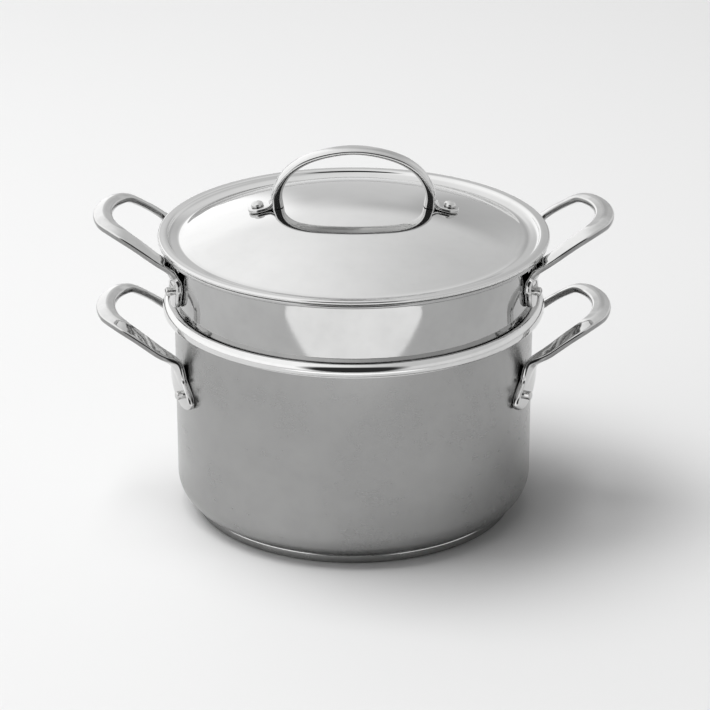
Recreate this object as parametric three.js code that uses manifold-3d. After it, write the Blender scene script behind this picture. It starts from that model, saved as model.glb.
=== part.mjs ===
// A stainless pasta pot with a lift-out strainer insert and a domed lid, in millimetres, +Z up.
// The origin is the middle of the underside of the base. The side handles lie along -X and +X.
import * as THREE from "three";
import { mergeGeometries, mergeVertices } from "three/addons/utils/BufferGeometryUtils.js";
import Module from "manifold-3d";

const wasm = await Module();
wasm.setup();

// Fits and facets
const seatGap = 0.3; // between pieces that rest on or pass through each other
const ringSegments = 36; // facets around every turned piece
const bendSteps = 3; // chords in a quarter bend of a turned profile

// Pot
const potRadius = 132.5; // outside of the wall
const potWall = 2.5;
const potHeight = 163.5; // from the table to the top of the lip
const potCorner = 16; // outside radius between wall and floor
const lipBend = 3.6; // radius under the turned-out lip
const lipRoll = 4.6; // radius of the pot's rolled rim
const lipFlat = 0.3; // between the bend and the roll

// Base disc: a bonded core plate inside a thin cap
const baseInset = 14.3; // of the disc's edge behind the pot's wall
const baseHeight = 5.2;
const capSheet = 1;
const capEdge = 1.4; // rounding of the cap's lower edge

// Strainer insert
const insertSheet = 1.2;
const basketInset = 6.5; // of the perforated wall behind the pot's outside
const basketClearance = 24; // from the table up to the basket's underside
const basketCorner = 12;
const collarRise = 45.9; // how far the insert's lip stands above the pot's lip
const insertRoll = 1.5; // radius of the insert's rolled edge
const insertLipBeyond = 1.9; // of the insert's lip beyond the pot's
const stepBend = 2; // inside bend between basket wall and shoulder
const shoulderBend = 4; // outside bend between shoulder and collar
const wallHoleRadius = 4.2;
const wallHoleRows = 6;
const wallHoleMargin = 10; // from the basket's corner up to the lowest row of holes
const plainBand = 23; // from the highest row of holes up to the shoulder
const floorHoleRadius = 4;
const floorHoleRings = 3;
const floorHolePitch = 28; // between the rings of floor holes
const holeSides = 6;

// Lid
const lidSheet = 1.6;
const lidOverhang = 0.9; // of the lid's edge beyond the insert's lip
const lidBead = 1.5; // radius of the rolled edge
const domeInset = 6.7; // of the foot of the dome behind the pot's wall
const domeRise = 26.3; // of the dome's top above its foot
const domeDrop = 1.6; // of the foot of the dome below the top of the brim
const troughDip = 0.4; // of the trough below the foot of the dome
const troughWidth = 7.7; // from the foot of the dome to the flat ring over the insert's lip
const rimWidth = 5.6; // of the raised rim round the lid's edge
const rimSlope = 1; // width of the step between the ring and the rim
const rimFall = 0.3; // of the rim's inner edge below its top
const lidDomeSteps = 7;

// Side handles, the same loop on the pot and the insert
const handleStand = 50.9; // from the pot's wall to the middle of the strap at the loop's end
const handleLift = 45; // of the loop's end above the rivets
const handleSpread = 46.5; // half the width of the loop where it is widest
const loopWidth = 14; // of the strap at the loop's end
const legWidth = 12;
const rootWidth = 22; // of the strap where it runs into a lug
const strapThickness = 5;
const strapBevel = 1.5;
const strapSteps = 28; // lengths along a handle's strap
const lugThickness = 5;
const padSteps = 5; // chords in a quarter of a lug's outline
const potLugDrop = 54.5; // of the middles of the pot's lugs below the top of its lip
const insertLugDrop = 28.4;
// Lugs: their middles, sizes along and across, how far they slant down to the front, and how far their
// rivets sit round and below the middle. Angles are in degrees, from the X axis for places round the wall.
const potLug = {
  angle: 20.5,
  height: potHeight - potLugDrop,
  length: 47,
  across: 20.5,
  slant: 22,
  rivetTurn: 4.5,
  rivetDrop: 2.5,
};
const insertLug = {
  angle: 17,
  height: potHeight + collarRise - insertLugDrop,
  length: 26,
  across: 23,
  slant: 90,
  rivetTurn: 0.6,
  rivetDrop: 0,
};
// Along half a loop, as shares of its reach, spread and lift. In degrees, the strap tilts back to the pot and
// rolls away from the middle of the loop.
const loopShape = [
  { reach: 0.12, spread: 1, lift: 0.6, tilt: 43, roll: 10, width: legWidth },
  { reach: 0.4, spread: 0.95, lift: 0.8, tilt: 34, roll: 16, width: legWidth },
  { reach: 0.68, spread: 0.84, lift: 0.96, tilt: 24, roll: 13, width: (legWidth + loopWidth) / 2 },
  { reach: 0.9, spread: 0.52, lift: 1, tilt: 17, roll: 6, width: loopWidth },
  { reach: 1, spread: 0, lift: 1.01, tilt: 15, roll: 0, width: loopWidth },
];
const twistLift = 0.38; // share of the lift where the strap leaves the wall and twists
const twistReach = 0.06;
const footReach = 5; // of the strap above and below the middle of a lug

// Lid handle
const lidHandleHeight = 38.6; // of the strap's middle above the dome's top
const lidHandleSpan = 55.6; // half the distance between the middles of the legs
const lidStrapWidth = 14.5; // at the top of the arch
const lidStrapThickness = 3.2;
const lidLegWidth = 12; // where the legs stand on the dome
const lidLegThickness = 8;
const lidTabWidth = 16;
const lidTabThickness = 3;
const lidTabReach = 69.5; // from the axis to the lid rivets
const lidTabSteps = 8;
// Up half an arch, as shares of its span and height, with the strap's lean in degrees
// and how far its section has grown from the top's towards the leg's
const archShape = [
  { span: 1.01, height: 0.105, lean: 80, growth: 0.92 },
  { span: 0.96, height: 0.35, lean: 62, growth: 0.66 },
  { span: 0.83, height: 0.605, lean: 46, growth: 0.42 },
  { span: 0.56, height: 0.845, lean: 24, growth: 0.2 },
  { span: 0, height: 1, lean: 0, growth: 0 },
];
// Along a tab, as shares of its width: how far beyond the rivet, and how wide
const tabShape = [
  { beyond: 0.44, wide: 0.6 },
  { beyond: 0.3, wide: 0.95 },
  { beyond: 0, wide: 1 },
  { beyond: -0.35, wide: 0.9 },
];

// Rivets
const sideRivetRadius = 3.2;
const sideRivetStand = 4.9; // of the outer end beyond the lug
const rivetHeadRadius = 6.5; // of the flat head inside the wall
const rivetHeadHeight = 1.6;
const lidRivetRadius = 2.6;
const lidRivetHeadRadius = 4.6;
const lidRivetHeadHeight = 3.6;
const rivetSides = 8;
const holeSpare = 6; // how far a cut for a hole runs beyond each face

// Places that follow from the sizes above
const lipRadius = potRadius + lipBend + lipFlat + lipRoll; // edge of the pot's lip
const insertLipRadius = lipRadius + insertLipBeyond;
const baseRadius = potRadius - baseInset;
const basketRadius = potRadius - basketInset;
const lidRadius = insertLipRadius + lidOverhang;
const lidDomeRadius = potRadius - domeInset; // where the dome meets the trough
const domeCurve = (lidDomeRadius ** 2 + domeRise ** 2) / (2 * domeRise); // radius of the dome's sphere
const handleReach = potRadius + handleStand;
const potFloor = baseHeight + seatGap; // underside of the pot's floor
const potFlare = potHeight - potWall - lipBend; // where the pot's wall starts to turn out
const insertHeight = potHeight + collarRise; // top of the insert's lip
const insertFlare = insertHeight - insertSheet - lipBend;
const lidSeat = insertHeight + seatGap; // underside of the lid's brim
const domeFoot = lidSeat + lidSheet - domeDrop;
const domeTop = domeFoot + domeRise;
const lugRadius = potRadius + seatGap; // inner face of every side lug
const lugFace = lugRadius + lugThickness;
const shoulderHeight = shoulderSeat();
const wallHoleBottom = basketClearance + basketCorner + wallHoleMargin;
const wallHolePitch = (shoulderHeight - plainBand - wallHoleBottom) / (wallHoleRows - 1);

// The shoulder's bend rests on the round of the pot's lip, so its height follows from both radii.
function shoulderSeat() {
  const apart = lipBend + potWall + shoulderBend + seatGap;
  const across = potRadius + lipBend - (potRadius - shoulderBend);
  return potFlare + Math.sqrt(apart ** 2 - across ** 2) - shoulderBend;
}

// Materials
const finishes = {
  polished: { color: 0xc8c8c8, metalness: 1, roughness: 0.12 },
  satin: { color: 0xb4b4b4, metalness: 1, roughness: 0.28 },
  dull: { color: 0x9a9a98, metalness: 1, roughness: 0.45 },
};

function finish(name) {
  return new THREE.MeshStandardMaterial(finishes[name]);
}

// Geometry helpers
function toSolid(geometry) {
  const bare = new THREE.BufferGeometry();
  bare.setAttribute("position", geometry.getAttribute("position").clone());
  bare.setIndex(geometry.index);
  const merged = mergeVertices(bare, 1e-3);
  const corners = merged.index.array;
  const kept = [];
  for (let i = 0; i < corners.length; i += 3) {
    const [a, b, c] = [corners[i], corners[i + 1], corners[i + 2]];
    if (a !== b && b !== c && a !== c) kept.push(a, b, c);
  }
  const vertProperties = merged.getAttribute("position").array;
  const triVerts = new Uint32Array(kept);
  return new wasm.Manifold(new wasm.Mesh({ numProp: 3, vertProperties, triVerts }));
}

function toGeometry(solid) {
  const mesh = solid.getMesh();
  const geometry = new THREE.BufferGeometry();
  geometry.setAttribute("position", new THREE.BufferAttribute(mesh.vertProperties, 3));
  geometry.setIndex(new THREE.BufferAttribute(mesh.triVerts, 1));
  geometry.computeVertexNormals();
  return geometry;
}

// Turns a profile of [radius, height] points about Z.
function turned(profile, sides = ringSegments) {
  const points = profile.map(([radius, height]) => new THREE.Vector2(radius, height));
  return new THREE.LatheGeometry(points, sides).rotateX(Math.PI / 2);
}

// Points of an arc in a turned profile, from one angle in degrees to another.
function arc(radius, centreRadius, centreHeight, from, to, steps = bendSteps) {
  const points = [];
  for (let i = 0; i <= steps; i++) {
    const angle = THREE.MathUtils.degToRad(from + ((to - from) * i) / steps);
    points.push([centreRadius + radius * Math.cos(angle), centreHeight + radius * Math.sin(angle)]);
  }
  return points;
}

// The turned-out lip of a sheet wall: out along its underside, round its edge and back along its top.
function lip(flare, sheet, edge, radius) {
  const bendCentre = potRadius + lipBend;
  const top = flare + lipBend + sheet;
  return [
    ...arc(lipBend, bendCentre, top - 2 * edge - lipBend, 180, 90),
    ...arc(edge, radius - edge, top - edge, -90, 90, 5),
    ...arc(lipBend + sheet, bendCentre, flare, 90, 180),
  ];
}

// A closed skin over rings of points that each have the same number of corners.
function lofted(rings) {
  const count = rings[0].length;
  const positions = rings.flat().flatMap((point) => [point.x, point.y, point.z]);
  const index = [];
  for (let ring = 0; ring + 1 < rings.length; ring++) {
    for (let k = 0; k < count; k++) {
      const a = ring * count + k;
      const b = ring * count + ((k + 1) % count);
      index.push(a, b, a + count, b, b + count, a + count);
    }
  }
  const last = (rings.length - 1) * count;
  for (let k = 1; k + 1 < count; k++) {
    index.push(0, k + 1, k, last, last + k, last + k + 1);
  }
  const geometry = new THREE.BufferGeometry();
  geometry.setAttribute("position", new THREE.Float32BufferAttribute(positions, 3));
  geometry.setIndex(index);
  return geometry;
}

// The bevelled section of a flat strap, across its width and its thickness.
function strapSection(width, thickness) {
  const [w, t] = [width / 2, thickness / 2];
  const bevel = Math.min(strapBevel, t * 0.6);
  return [
    [-w, -t + bevel],
    [-w + bevel, -t],
    [w - bevel, -t],
    [w, -t + bevel],
    [w, t - bevel],
    [w - bevel, t],
    [-w + bevel, t],
    [-w, t - bevel],
  ];
}

// A strap along a smooth path. Each station has a point, the way its upper face looks, and its section.
function strap(stations, steps) {
  const path = new THREE.CatmullRomCurve3(stations.map((station) => station.at));
  const rings = [];
  for (let i = 0; i <= steps; i++) {
    const along = (i / steps) * (stations.length - 1);
    const first = Math.min(Math.floor(along), stations.length - 2);
    const blend = along - first;
    const [a, b] = [stations[first], stations[first + 1]];
    const centre = path.getPoint(i / steps);
    const forward = path.getTangent(i / steps);
    const side = a.up.clone().lerp(b.up, blend).cross(forward).normalize();
    const up = forward.clone().cross(side);
    const width = THREE.MathUtils.lerp(a.width, b.width, blend);
    const thickness = THREE.MathUtils.lerp(a.thickness, b.thickness, blend);
    rings.push(
      strapSection(width, thickness).map(([w, t]) =>
        centre.clone().addScaledVector(side, w).addScaledVector(up, t),
      ),
    );
  }
  return lofted(rings);
}

// Pot body: floor, rounded corner, wall and lip from one sheet.
function potBody() {
  const cornerRadius = potRadius - potCorner;
  const cornerHeight = potFloor + potCorner;
  return turned([
    [0, potFloor],
    ...arc(potCorner, cornerRadius, cornerHeight, -90, 0),
    ...lip(potFlare, potWall, lipRoll, lipRadius),
    ...arc(potCorner - potWall, cornerRadius, cornerHeight, 0, -90),
    [0, potFloor + potWall],
  ]);
}

// Base core: the heat-spreading plate under the floor.
function baseCore() {
  const radius = baseRadius - capSheet - seatGap;
  const underside = capSheet + seatGap;
  return turned([
    [0, underside],
    [radius, underside],
    [radius, baseHeight],
    [0, baseHeight],
  ]);
}

// Base cap: a shallow cup round the core, with a rounded lower edge.
function baseCap() {
  const inside = baseRadius - capSheet;
  return turned([
    [0, 0],
    ...arc(capEdge, baseRadius - capEdge, capEdge, -90, 0, 3),
    [baseRadius, baseHeight],
    [inside, baseHeight],
    [inside, capSheet],
    [0, capSheet],
  ]);
}

// Strainer insert: perforated basket, shoulder that sits in the pot's lip, plain collar and its own lip.
function strainerShell() {
  const cornerRadius = basketRadius - basketCorner;
  const cornerHeight = basketClearance + basketCorner;
  const stepCentre = basketRadius + stepBend;
  const shoulderCentre = potRadius - shoulderBend;
  return turned([
    [0, basketClearance],
    ...arc(basketCorner, cornerRadius, cornerHeight, -90, 0),
    ...arc(stepBend, stepCentre, shoulderHeight - stepBend, 180, 90, 2),
    ...arc(shoulderBend, shoulderCentre, shoulderHeight + shoulderBend, -90, 0, 3),
    ...lip(insertFlare, insertSheet, insertRoll, insertLipRadius),
    ...arc(shoulderBend - insertSheet, shoulderCentre, shoulderHeight + shoulderBend, 0, -90, 3),
    ...arc(stepBend + insertSheet, stepCentre, shoulderHeight - stepBend, 90, 180, 2),
    ...arc(basketCorner - insertSheet, cornerRadius, cornerHeight, 0, -90),
    [0, basketClearance + insertSheet],
  ]);
}

// One prism through a sheet, along +Z, for a hole.
function holePrism(radius) {
  const length = insertSheet + 2 * holeSpare;
  return new THREE.CylinderGeometry(radius, radius, length, holeSides).rotateX(Math.PI / 2);
}

// The wall's holes sit in the middle of every other facet, and each row is turned by one facet.
function wallHoles() {
  const holes = [];
  const facet = (2 * Math.PI) / ringSegments;
  for (let row = 0; row < wallHoleRows; row++) {
    const height = wallHoleBottom + row * wallHolePitch;
    for (let column = row % 2; column < ringSegments; column += 2) {
      const hole = holePrism(wallHoleRadius).rotateY(Math.PI / 2);
      holes.push(hole.translate(basketRadius, 0, height).rotateZ((column + 0.5) * facet));
    }
  }
  return holes;
}

// The floor's holes lie on rings round a middle hole.
function floorHoles() {
  const height = basketClearance + insertSheet / 2;
  const holes = [holePrism(floorHoleRadius).translate(0, 0, height)];
  for (let ring = 1; ring <= floorHoleRings; ring++) {
    for (let k = 0; k < 6 * ring; k++) {
      const hole = holePrism(floorHoleRadius);
      hole.translate(ring * floorHolePitch, 0, height);
      holes.push(hole.rotateZ((k * Math.PI) / (3 * ring)));
    }
  }
  return holes;
}

// Holes in a wall for the rivets of two handles.
function rivetHoles(lug, sheet) {
  const { angle, height } = rivetSpot(lug);
  const turns = [angle, -angle, 180 - angle, 180 + angle];
  return turns.map((turn) => sideRivetHole(turn, height, potRadius - sheet, potRadius));
}

function rivetSpot(lug) {
  return { angle: lug.angle + lug.rivetTurn, height: lug.height - lug.rivetDrop };
}

// A hole along the radius at an angle in degrees, with room to spare at both ends.
function sideRivetHole(angle, height, from, to) {
  const radius = sideRivetRadius + seatGap;
  const hole = new THREE.CylinderGeometry(radius, radius, to - from + 2 * holeSpare, rivetSides);
  hole.rotateZ(Math.PI / 2).translate((from + to) / 2, 0, height);
  return hole.rotateZ(THREE.MathUtils.degToRad(angle));
}

function cut(geometry, cutters) {
  const bare = cutters.map((cutter) => {
    const plain = new THREE.BufferGeometry();
    plain.setAttribute("position", cutter.getAttribute("position"));
    return plain.setIndex(cutter.index);
  });
  return toGeometry(toSolid(geometry).subtract(toSolid(mergeGeometries(bare))));
}

// Side handle on the +X side. Its lugs hug the wall and the strap runs out and up from one to the other.
function sideHandle(lug) {
  const turn = THREE.MathUtils.degToRad(lug.angle);
  const lugMiddle = lugRadius + lugThickness / 2;
  const inward = new THREE.Vector3(-Math.cos(turn), -Math.sin(turn), 0);
  const [footX, footY] = [lugMiddle * Math.cos(turn), lugMiddle * Math.sin(turn)];
  const rise = handleReach - lugFace;
  const twistWidth = (rootWidth + legWidth) / 2;
  const onWall = (x, y, lift, width) => ({
    at: new THREE.Vector3(x, y, lug.height + lift),
    up: inward,
    width,
    thickness: strapThickness,
  });
  const loop = loopShape.map(({ reach, spread, lift, tilt, roll, width }) => {
    const [lean, outward] = [THREE.MathUtils.degToRad(tilt), THREE.MathUtils.degToRad(roll)];
    return {
      at: new THREE.Vector3(lugFace + rise * reach, handleSpread * spread, lug.height + handleLift * lift),
      up: new THREE.Vector3(-Math.sin(lean), Math.tan(outward), Math.cos(lean)).normalize(),
      width,
      thickness: strapThickness,
    };
  });
  const half = [
    onWall(footX, footY, -footReach, rootWidth),
    onWall(footX, footY, footReach, rootWidth),
    onWall(footX + rise * twistReach, (footY + handleSpread) / 2, handleLift * twistLift, twistWidth),
    ...loop,
  ];
  let solid = toSolid(strap(mirrored(half, "y"), strapSteps));
  for (const side of [1, -1]) {
    solid = solid.add(lugPad(lug, side));
  }
  const wall = turned([
    [0, 0],
    [lugRadius, 0],
    [lugRadius, insertHeight],
    [0, insertHeight],
  ]);
  const { angle, height } = rivetSpot(lug);
  const holes = [1, -1].map((side) => sideRivetHole(side * angle, height, lugRadius, lugFace));
  return cut(toGeometry(solid.subtract(toSolid(wall))), holes);
}

// Stations from one end of a strap to its middle, carried on in mirror image to the other end.
function mirrored(half, axis) {
  const other = half.slice(0, -1).map((station) => {
    const [at, up] = [station.at.clone(), station.up.clone()];
    at[axis] = -at[axis];
    up[axis] = -up[axis];
    return { ...station, at, up };
  });
  return [...half, ...other.reverse()];
}

// An oval pad that follows the wall's curve, on the back of the handle for side 1 and the front for -1.
function lugPad(lug, side) {
  const outline = new THREE.Shape();
  const slant = THREE.MathUtils.degToRad(lug.slant);
  outline.absellipse(0, 0, lug.across / 2, lug.length / 2, 0, 2 * Math.PI, false, -side * slant);
  const depth = lugThickness + potRadius / 4;
  const options = { depth, bevelEnabled: false, curveSegments: padSteps };
  const block = new THREE.ExtrudeGeometry(outline, options).rotateY(Math.PI / 2);
  block.translate(lugFace - depth + lugThickness, 0, lug.height);
  block.rotateZ(THREE.MathUtils.degToRad(side * lug.angle));
  const ring = turned([
    [lugRadius, lug.height - lug.length],
    [lugFace, lug.height - lug.length],
    [lugFace, lug.height + lug.length],
    [lugRadius, lug.height + lug.length],
    [lugRadius, lug.height - lug.length],
  ]);
  return toSolid(block).intersect(toSolid(ring));
}

// Rivet of a side handle, along +X: flat head inside the wall, round end standing beyond the lug.
function sideRivet(wallSheet) {
  const hollow = Math.sqrt((potRadius - wallSheet) ** 2 - rivetHeadRadius ** 2);
  const inner = hollow * Math.cos(Math.PI / ringSegments) - seatGap; // clears the flats of the wall
  const outer = lugFace + sideRivetStand;
  const chamfer = sideRivetRadius * 0.2;
  return turned(
    [
      [0, inner - rivetHeadHeight],
      [rivetHeadRadius * 0.7, inner - rivetHeadHeight],
      [rivetHeadRadius, inner - rivetHeadHeight * 0.3],
      [rivetHeadRadius, inner],
      [sideRivetRadius, inner],
      [sideRivetRadius, outer - chamfer],
      [sideRivetRadius - chamfer, outer],
      [0, outer],
    ],
    rivetSides,
  ).rotateY(Math.PI / 2);
}

// The lid's upper face is part of a sphere.
function domeHeight(radius) {
  return domeTop - domeCurve + Math.sqrt(domeCurve ** 2 - radius ** 2);
}

function domeTilt(radius) {
  return Math.asin(radius / domeCurve);
}

// The dome's profile from the axis to its foot, moved square to itself by a depth.
function domeProfile(depth) {
  const points = [];
  for (let i = 0; i <= lidDomeSteps; i++) {
    const radius = (lidDomeRadius * i) / lidDomeSteps;
    const tilt = domeTilt(radius);
    points.push([radius - depth * Math.sin(tilt), domeHeight(radius) - depth * Math.cos(tilt)]);
  }
  return points;
}

// Lid: domed sheet, shallow trough, flat ring over the insert's lip and a raised rim with a rolled edge.
function lidShell() {
  const trough = domeFoot - troughDip;
  const ring = lidSeat + lidSheet;
  const rimTop = lidSeat + 2 * lidBead;
  const beadCentre = lidRadius - lidBead;
  const top = [
    ...domeProfile(0),
    [lidDomeRadius + troughWidth / 2, trough],
    [lidDomeRadius + troughWidth, ring],
    [lidRadius - rimWidth - rimSlope, ring],
    [lidRadius - rimWidth, rimTop - rimFall],
    ...arc(lidBead, beadCentre, rimTop - lidBead, 90, -90, 5),
  ];
  const underside = [
    [lidDomeRadius + troughWidth, lidSeat],
    [lidDomeRadius + troughWidth / 2, trough - lidSheet],
    ...domeProfile(lidSheet).reverse(),
  ];
  return turned([...top, ...underside].reverse());
}

// Lid handle: an arched strap that thickens into two legs, with a thin tab on the dome outside each leg.
function lidHandle() {
  const tab = (x, width) => {
    const tilt = domeTilt(x);
    return {
      at: new THREE.Vector3(x, 0, domeHeight(x) + seatGap + lidTabThickness / 2),
      up: new THREE.Vector3(Math.sin(tilt), 0, Math.cos(tilt)),
      width,
      thickness: lidTabThickness,
    };
  };
  const arch = (x, z, lean, growth) => {
    const tilt = THREE.MathUtils.degToRad(lean);
    return {
      at: new THREE.Vector3(x, 0, z),
      up: new THREE.Vector3(Math.sin(tilt), 0, Math.cos(tilt)),
      width: THREE.MathUtils.lerp(lidStrapWidth, lidLegWidth, growth),
      thickness: THREE.MathUtils.lerp(lidStrapThickness, lidLegThickness, growth),
    };
  };
  const half = [
    arch(lidHandleSpan, domeHeight(lidHandleSpan) - lidLegThickness / 2, 90, 1),
    ...archShape.map(({ span, height, lean, growth }) =>
      arch(lidHandleSpan * span, domeTop + lidHandleHeight * height, lean, growth),
    ),
  ];
  const tabHalf = [
    ...tabShape.map(({ beyond, wide }) => tab(lidTabReach + lidTabWidth * beyond, lidTabWidth * wide)),
    tab(lidHandleSpan, lidLegWidth * 0.8),
  ];
  let solid = toSolid(strap(mirrored(half, "x"), strapSteps));
  for (const turn of [0, Math.PI]) {
    solid = solid.add(toSolid(strap(tabHalf, lidTabSteps).rotateZ(turn)));
  }
  const under = turned([[0, potHeight], [lidDomeRadius, potHeight], ...domeProfile(-seatGap).reverse()]);
  const holes = [1, -1].map((side) => placedOnDome(lidRivetHole(), side));
  return cut(toGeometry(solid.subtract(toSolid(under))), holes);
}

function lidRivetHole() {
  const radius = lidRivetRadius + seatGap;
  const length = lidSheet + 2 * holeSpare;
  return new THREE.CylinderGeometry(radius, radius, length, rivetSides).rotateX(Math.PI / 2);
}

// Turns a piece made about Z to stand square on the dome at a lid rivet.
function placedOnDome(geometry, side) {
  geometry.rotateY(side * domeTilt(lidTabReach));
  return geometry.translate(side * lidTabReach, 0, domeHeight(lidTabReach));
}

// Lid rivet: round head on the tab, shank through the lid, flat head below.
function lidRivet() {
  const head = seatGap + lidTabThickness + seatGap;
  const below = -lidSheet - seatGap;
  return turned(
    [
      [0, below - rivetHeadHeight],
      [lidRivetHeadRadius, below - rivetHeadHeight],
      [lidRivetHeadRadius, below],
      [lidRivetRadius, below],
      [lidRivetRadius, head],
      [lidRivetHeadRadius, head],
      [lidRivetHeadRadius, head + lidRivetHeadHeight * 0.5],
      [lidRivetHeadRadius * 0.7, head + lidRivetHeadHeight * 0.9],
      [0, head + lidRivetHeadHeight],
    ],
    rivetSides,
  );
}

// Assembly
const pastaPot = new THREE.Group();

function place(name, geometry, finishName, turn = 0) {
  const mesh = new THREE.Mesh(geometry, finish(finishName));
  mesh.name = name;
  mesh.rotation.z = THREE.MathUtils.degToRad(turn);
  pastaPot.add(mesh);
  return mesh;
}

// Two handles and their four rivets, on the right at 0 degrees and on the left at 180.
function placeHandles(prefix, lug, wallSheet) {
  for (const [side, turn] of [["right", 0], ["left", 180]]) {
    place(`${prefix}_handle_${side}`, sideHandle(lug), "polished", turn);
    for (const [end, lean] of [["front", -1], ["back", 1]]) {
      const { angle, height } = rivetSpot(lug);
      const rivetTurn = turn === 0 ? lean * angle : turn - lean * angle;
      const rivet = place(`${prefix}_rivet_${side}_${end}`, sideRivet(wallSheet), "polished", rivetTurn);
      rivet.position.z = height;
    }
  }
}

place("base_cap", baseCap(), "satin");
place("base_core", baseCore(), "dull");
place("pot_body", cut(potBody(), rivetHoles(potLug, potWall)), "satin");
placeHandles("pot", potLug, potWall);

const strainerHoles = [...wallHoles(), ...floorHoles(), ...rivetHoles(insertLug, insertSheet)];
place("strainer_insert", cut(strainerShell(), strainerHoles), "polished");
placeHandles("insert", insertLug, insertSheet);

const lidHoles = [placedOnDome(lidRivetHole(), 1), placedOnDome(lidRivetHole(), -1)];
place("lid", cut(lidShell(), lidHoles), "polished");
place("lid_handle", lidHandle(), "polished");
place("lid_rivet_right", placedOnDome(lidRivet(), 1), "polished");
place("lid_rivet_left", placedOnDome(lidRivet(), -1), "polished");

export default pastaPot;
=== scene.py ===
# Looks of the pasta pot: smooth shells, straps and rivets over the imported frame, studio and camera.
import math
import bmesh
import bpy
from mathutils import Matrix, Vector


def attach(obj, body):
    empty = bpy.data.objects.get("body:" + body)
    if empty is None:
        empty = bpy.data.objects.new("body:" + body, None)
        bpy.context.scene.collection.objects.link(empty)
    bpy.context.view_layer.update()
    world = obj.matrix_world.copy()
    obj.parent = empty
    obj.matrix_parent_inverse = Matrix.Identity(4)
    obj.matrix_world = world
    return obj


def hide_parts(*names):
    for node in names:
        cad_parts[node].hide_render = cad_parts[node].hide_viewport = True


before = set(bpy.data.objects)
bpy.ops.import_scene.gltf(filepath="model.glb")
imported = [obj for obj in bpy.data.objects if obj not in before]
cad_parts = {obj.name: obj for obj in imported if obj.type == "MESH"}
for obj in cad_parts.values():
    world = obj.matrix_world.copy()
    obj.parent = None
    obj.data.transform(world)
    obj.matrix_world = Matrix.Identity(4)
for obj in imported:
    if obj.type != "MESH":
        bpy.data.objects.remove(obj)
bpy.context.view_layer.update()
mm = 0.001
weldGap = 2e-6  # metres
seatGap = 0.3  # millimetres between pieces that rest on or pass through each other


# A value part of the way from low to high, for numbers and for sockets
def mixed(low, high, share):
    return low + share * (high - low)


# One socket of a node tree. Sums of sockets add Math nodes, and add() makes any other node.
class Wire:
    def __init__(self, tree, socket=None):
        self.tree = tree
        self.socket = socket

    def add(self, kind, settings=None, links=None, out=0):
        node = self.tree.nodes.new(kind)
        for key, value in (settings or {}).items():
            setattr(node, key, value)
        for key, value in (links or {}).items():
            if isinstance(value, Wire):
                self.tree.links.new(value.socket, node.inputs[key])
            else:
                node.inputs[key].default_value = value
        return Wire(self.tree, node.outputs[out]) if len(node.outputs) else node

    def math(self, operation, first, second=0.0):
        return self.add("ShaderNodeMath", {"operation": operation}, {0: first, 1: second})

    def __add__(self, other):
        return self.math("ADD", self, other)

    def __radd__(self, other):
        return self.math("ADD", other, self)

    def __sub__(self, other):
        return self.math("SUBTRACT", self, other)

    def __rsub__(self, other):
        return self.math("SUBTRACT", other, self)

    def __mul__(self, other):
        return self.math("MULTIPLY", self, other)

    def __rmul__(self, other):
        return self.math("MULTIPLY", other, self)

    def __truediv__(self, other):
        return self.math("DIVIDE", self, other)

    def __rtruediv__(self, other):
        return self.math("DIVIDE", other, self)

    def __pow__(self, other):
        return self.math("POWER", self, other)

    def __rpow__(self, other):
        return self.math("POWER", other, self)

    def part(self, index):
        return self.add("ShaderNodeSeparateXYZ", None, {0: self}, index)

    def join(self, x, y, z):
        return self.add("ShaderNodeCombineXYZ", None, {0: x, 1: y, 2: z})

    def rise(self, low, high):
        return self.add(
            "ShaderNodeMapRange",
            {"interpolation_type": "SMOOTHSTEP"},
            {"Value": self, "From Min": low, "From Max": high},
        )

    def noise(self, scale, detail=2.0, roughness=0.5):
        return self.add(
            "ShaderNodeTexNoise",
            {"noise_dimensions": "3D"},
            {"Vector": self, "Scale": scale, "Detail": detail, "Roughness": roughness},
        )

    def between(self, low, high):
        return self.add(
            "ShaderNodeMix",
            {"data_type": "RGBA"},
            {0: self, 6: (*low, 1.0), 7: (*high, 1.0)},
            2,
        )


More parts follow.
